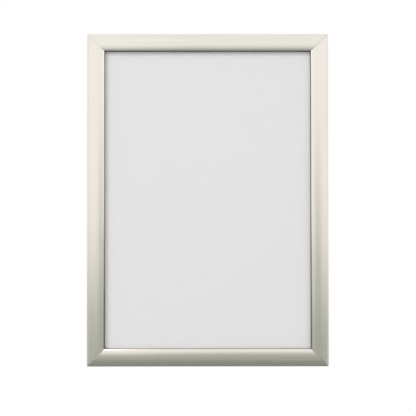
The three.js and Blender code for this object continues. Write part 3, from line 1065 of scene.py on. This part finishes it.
class FRAME_OT_leaf_springs(bpy.types.Operator):
    """Builds the bowed springs between each base rail and its snap rail"""

    bl_idname = "poster_frame.leaf_springs"
    bl_label = "Leaf springs"

    def execute(self, context):
        outer = Vector((NOTCH_U + SPRING_LEAN, NOTCH_V + SPRING_STAND_OFF))
        inner = Vector((HOOK_U - 2 * SPRING_LEAN, HOOK_V + SPRING_STAND_OFF))
        half = (inner - outer).length / 2
        radius = (half * half + SPRING_BOW * SPRING_BOW) / (2 * SPRING_BOW)
        chord = (inner - outer).normalized()
        normal = Vector((-chord.y, chord.x))
        centre = (outer + inner) / 2 + normal * (SPRING_BOW - radius)
        lean = Matrix.Rotation(math.atan2(chord.y, chord.x), 4, "Z")
        steel = spring_steel()
        for side, (_, length, _) in SIDES.items():
            values = {
                "Radius": radius, "Half angle": math.asin(half / radius), "Length": SPRING_LENGTH,
                "Corner": SPRING_CORNER, "Thickness": SPRING_THICKNESS,
                "Spacing": 2 * SPRING_PLACE_SHARE * length, "Crease": CREASE, "Material": steel,
            }
            name = f"leaf_springs_{side}"
            pair = grown(name, bpy.data.meshes.new(name), [(spring_tree(), values)])
            at = rail_matrix(side)
            place(pair, at @ Matrix.Translation((*centre, 0)) @ lean)
            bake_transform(pair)
            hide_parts(f"leaf_spring_{side}_1", f"leaf_spring_{side}_2")
        return {"FINISHED"}


def tooth_run(start, edge, inward):
    """Saw teeth along one edge of a bracket's leg, from the root towards the tip."""
    points = []
    for k in range(TOOTH_COUNT):
        root = start + k * TOOTH_PITCH
        points += [(root, edge), (root + TOOTH_PITCH / 3, edge + inward * TOOTH_DEPTH)]
    return [*points, (start + TOOTH_COUNT * TOOTH_PITCH, edge)]


def bracket_outline():
    """An L with toothed legs, in the corner's own x and y, which run inwards from the two outer edges."""
    near, far = CHANNEL_LEFT + BRACKET_SIDE_GAP, CHANNEL_RIGHT - BRACKET_SIDE_GAP
    tip = near + BRACKET_LEG
    teeth = tip - BRACKET_CHAMFER - (TOOTH_COUNT + 1) * TOOTH_PITCH
    near_run, far_run = tooth_run(teeth, near, 1), tooth_run(teeth, far, -1)
    half = [
        (near + BRACKET_CHAMFER, near), *near_run, (tip - BRACKET_CHAMFER, near),
        (tip, near + BRACKET_CHAMFER), (tip, far - BRACKET_CHAMFER), (tip - BRACKET_CHAMFER, far),
        *reversed(far_run),
    ]
    return [*half, (far, far), *((q, p) for p, q in reversed(half))]


class FRAME_OT_corner_brackets(bpy.types.Operator):
    """Builds the toothed steel brackets that join the base rails at the corners"""

    bl_idname = "poster_frame.corner_brackets"
    bl_label = "Corner brackets"

    def execute(self, context):
        up, right = Vector((0, 0, 1)), Vector((1, 0, 0))
        corners = {
            "top_left": (-up, right), "top_right": (-right, -up),
            "bottom_right": (up, -right), "bottom_left": (right, up),
        }
        thickness = CHANNEL_TOP - BASE_FLOOR - 2 * LAY_GAP
        outline = rounded(bracket_outline(), BRACKET_CORNER, BRACKET_CORNER_STEPS)
        metal = zinc_plate()
        for name, (first, second) in corners.items():
            bracket = extruded(
                f"corner_bracket_{name}_finished", outline, square_cut, thickness, metal, BRACKET_EDGE
            )
            inward = first + second
            corner = Vector((-inward.x * OUTER_WIDTH / 2, 0, -inward.z * OUTER_HEIGHT / 2))
            lift = FORWARD * (BASE_FLOOR + CHANNEL_TOP) / 2
            turn = Matrix((first, second, FORWARD)).transposed().to_4x4()
            place(bracket, Matrix.Translation(corner + lift) @ turn)
            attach(bracket, "frame_body")
            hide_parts(f"corner_bracket_{name}")
        return {"FINISHED"}


def sheet_piece(node, corner, edge_break, material):
    """A cut sheet in place of a packed one, with small round corners and broken edges."""
    low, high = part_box(node)
    half = (high - low) / 2
    outline = [(-half.x, -half.z), (half.x, -half.z), (half.x, half.z), (-half.x, half.z)]
    outline = rounded(outline, corner, SHEET_CORNER_STEPS)
    sheet = extruded(f"{node}_finished", outline, square_cut, 2 * half.y, material, edge_break)
    turn = Matrix(((1, 0, 0), (0, 0, -1), (0, 1, 0))).to_4x4()
    place(sheet, Matrix.Translation((low + high) / 2) @ turn)
    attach(sheet, "frame_body")
    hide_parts(node)


class FRAME_OT_sheets(bpy.types.Operator):
    """Builds the back panel, the blank insert and the clear cover sheet"""

    bl_idname = "poster_frame.sheets"
    bl_label = "Sheets"

    def execute(self, context):
        sheet_piece("back_panel", PANEL_CORNER, PANEL_EDGE, back_board())
        sheet_piece("poster_insert", INSERT_CORNER, INSERT_EDGE, insert_paper())
        sheet_piece("cover_sheet", COVER_CORNER, COVER_EDGE, clear_cover())
        return {"FINISHED"}


def area_lamp(name, place_at, size, power, aim=(0, 0, 0)):
    light = bpy.data.lights.new(name, "AREA")
    light.shape = "RECTANGLE"
    light.size, light.size_y = size
    light.energy = power
    lamp = bpy.data.objects.new(name, light)
    lamp.location = place_at
    lamp.rotation_euler = (Vector(aim) - Vector(place_at)).to_track_quat("-Z", "Y").to_euler()
    lamp.visible_camera = False
    bpy.context.scene.collection.objects.link(lamp)


def pale_floor():
    made, nodes, shader = new_material("pale_floor", {"Roughness": 0.9, "Specular IOR Level": 0.1})
    mottle = nodes.noise(object_place(nodes), 3, 3.0, 0.5)
    feed(nodes, shader, Base_Color=nodes.mixed(mottle, (0.56, 0.56, 0.55), (0.6, 0.6, 0.59)))
    return made


def card_with_painted_shade(name, tones):
    """Matt card with painted shade: dark where it lies on the floor and paler the higher it stands."""
    made, nodes, shader = new_material(name, {"Roughness": 0.9, "Specular IOR Level": 0.1})
    height = nodes.parts(object_place(nodes))[2]
    rise = nodes.out(
        "ShaderNodeMapRange", {}, {"Value": height, "From Min": CARD_FOOT, "From Max": STEP_CARD_TOP}
    )
    stops = []
    for level, grey in (*CARD_FOOT_TONES, *tones):
        tint = min(1, 2 * (1 - grey))
        red, blue = grey * (1 - CARD_RED_LOSS_SHARE * tint), grey * (1 - CARD_BLUE_LOSS_SHARE * tint)
        stops.append(((level - CARD_FOOT) / (STEP_CARD_TOP - CARD_FOOT), (red, grey, blue, 1)))
    tone = nodes.out("ShaderNodeValToRGB", {"ramp": stops}, {"Fac": rise}, "Color")
    feed(nodes, shader, Base_Color=tone)
    return made


def pale_card():
    return new_material("pale_card", {"Base Color": (0.70, 0.71, 0.68, 1), "Roughness": 0.9})[0]


def reflected_only(stage_piece):
    """The piece shows in reflections, and neither in the picture nor as a shadow."""
    stage_piece.visible_camera = False
    stage_piece.visible_diffuse = False
    stage_piece.visible_shadow = False


def flat_sheet(name, points, material):
    mesh = bpy.data.meshes.new(name)
    mesh.from_pydata(points, [], [(k, k + 1, k + 3, k + 2) for k in range(0, len(points) - 2, 2)])
    mesh.materials.append(material)
    sheet = bpy.data.objects.new(name, mesh)
    bpy.context.scene.collection.objects.link(sheet)
    return sheet


class FRAME_OT_studio(bpy.types.Operator):
    """Builds the floor, the lamps, the white surround and the camera"""

    bl_idname = "poster_frame.studio"
    bl_label = "Studio"

    def execute(self, context):
        scene = context.scene
        settings = scene.studio_settings
        camera = bpy.data.cameras.new("camera")
        camera.lens = settings.lens
        camera.sensor_width = SENSOR_WIDTH
        camera.clip_start = CLIP_START
        eye = bpy.data.objects.new("camera", camera)
        pitch, roll, yaw = settings.camera_turn
        look = Matrix.Rotation(yaw, 4, "Z") @ Matrix.Rotation(pitch, 4, "X") @ Matrix.Rotation(roll, 4, "Y")
        upright = Matrix.Rotation(math.radians(90), 4, "X")
        eye.matrix_world = Matrix.Translation(settings.camera_place) @ look @ upright
        scene.collection.objects.link(eye)
        scene.camera = eye
        area_lamp("key_lamp", KEY_LAMP_PLACE, KEY_LAMP_SIZE, settings.key_power)
        area_lamp("fill_lamp", FILL_LAMP_PLACE, FILL_LAMP_SIZE, settings.fill_power)
        mirrored = SIDE_PANEL_PLACE * Vector((-1, 1, 1))
        for name, at, power in (
            ("left_panel", mirrored, settings.left_panel),
            ("right_panel", SIDE_PANEL_PLACE, settings.right_panel),
        ):
            area_lamp(name, at, SIDE_PANEL_SIZE, power, at + Vector((0, 1, 0)))
        self.floor_and_cards()
        self.surround(scene)
        scene.view_settings.view_transform = "Standard"
        return {"FINISHED"}

    def floor_and_cards(self):
        corners = [(x, y, FLOOR_LEVEL) for y in (FLOOR_FRONT, FLOOR_BACK) for x in (-FLOOR_SIDE, FLOOR_SIDE)]
        flat_sheet("floor", corners, pale_floor())
        profile = ((CARD_FRONT, CARD_TOP), (CARD_FRONT, CARD_FOOT), (CARD_BACK, CARD_FOOT))
        card = [(x, y, z) for y, z in profile for x in (-CARD_REACH, CARD_REACH)]
        reflected_only(flat_sheet("stage_card", card, card_with_painted_shade("wide_card", WIDE_CARD_TONES)))
        pale = pale_card()
        for name, x in (("stage_wing_left", -CARD_REACH), ("stage_wing_right", CARD_REACH)):
            wing = [(x, y, z) for z in (WING_TOP, CARD_FOOT) for y in (CARD_FRONT, FLOOR_BACK)]
            reflected_only(flat_sheet(name, wing, pale))
        sides = (STEP_CARD_LEFT, STEP_CARD_RIGHT)
        step = [(x, STEP_CARD_FRONT, z) for z in (STEP_CARD_TOP, CARD_FOOT) for x in sides]
        reflected_only(flat_sheet("stage_card_step", step, card_with_painted_shade("step_card", STEP_CARD_TONES)))

    def surround(self, scene):
        """Plain white all round, at the strength that shows as white."""
        world = bpy.data.worlds.new("surround")
        world.use_nodes = True
        world.node_tree.nodes.clear()
        nodes = Nodes(world.node_tree)
        white = nodes.add("ShaderNodeBackground", {}, {"Color": (1, 1, 1, 1), "Strength": 1.0})
        output = nodes.add("ShaderNodeOutputWorld")
        world.node_tree.links.new(white.outputs[0], output.inputs[0])
        scene.world = world


class FRAME_PT_panel(bpy.types.Panel):
    """Lists the frame's pieces in the order that they are built"""

    bl_idname = "FRAME_PT_panel"
    bl_label = "Poster frame"
    bl_space_type = "VIEW_3D"
    bl_region_type = "UI"
    bl_category = "Poster frame"

    def draw(self, context):
        for operator in OPERATORS:
            self.layout.operator(operator.bl_idname)
        for group in ("frame_sizes", "frame_finishes", "studio_settings"):
            settings = getattr(context.scene, group)
            box = self.layout.box()
            for name in settings.__annotations__:
                box.prop(settings, name)


OPERATORS = (
    FRAME_OT_studio,
    FRAME_OT_base_rails,
    FRAME_OT_corner_brackets,
    FRAME_OT_sheets,
    FRAME_OT_leaf_springs,
    FRAME_OT_snap_rails,
)
GROUPS = {"frame_sizes": FrameSizes, "frame_finishes": FrameFinishes, "studio_settings": StudioSettings}


def register():
    for kind in (*GROUPS.values(), *OPERATORS, FRAME_PT_panel):
        bpy.utils.register_class(kind)
    for name, group in GROUPS.items():
        setattr(bpy.types.Scene, name, bpy.props.PointerProperty(type=group))


def unregister():
    for name in GROUPS:
        delattr(bpy.types.Scene, name)
    for kind in (FRAME_PT_panel, *reversed(OPERATORS), *reversed(tuple(GROUPS.values()))):
        bpy.utils.unregister_class(kind)


def main():
    register()
    for operator in OPERATORS:
        category, name = operator.bl_idname.split(".")
        getattr(getattr(bpy.ops, category), name)()


if __name__ == "__main__":
    main()
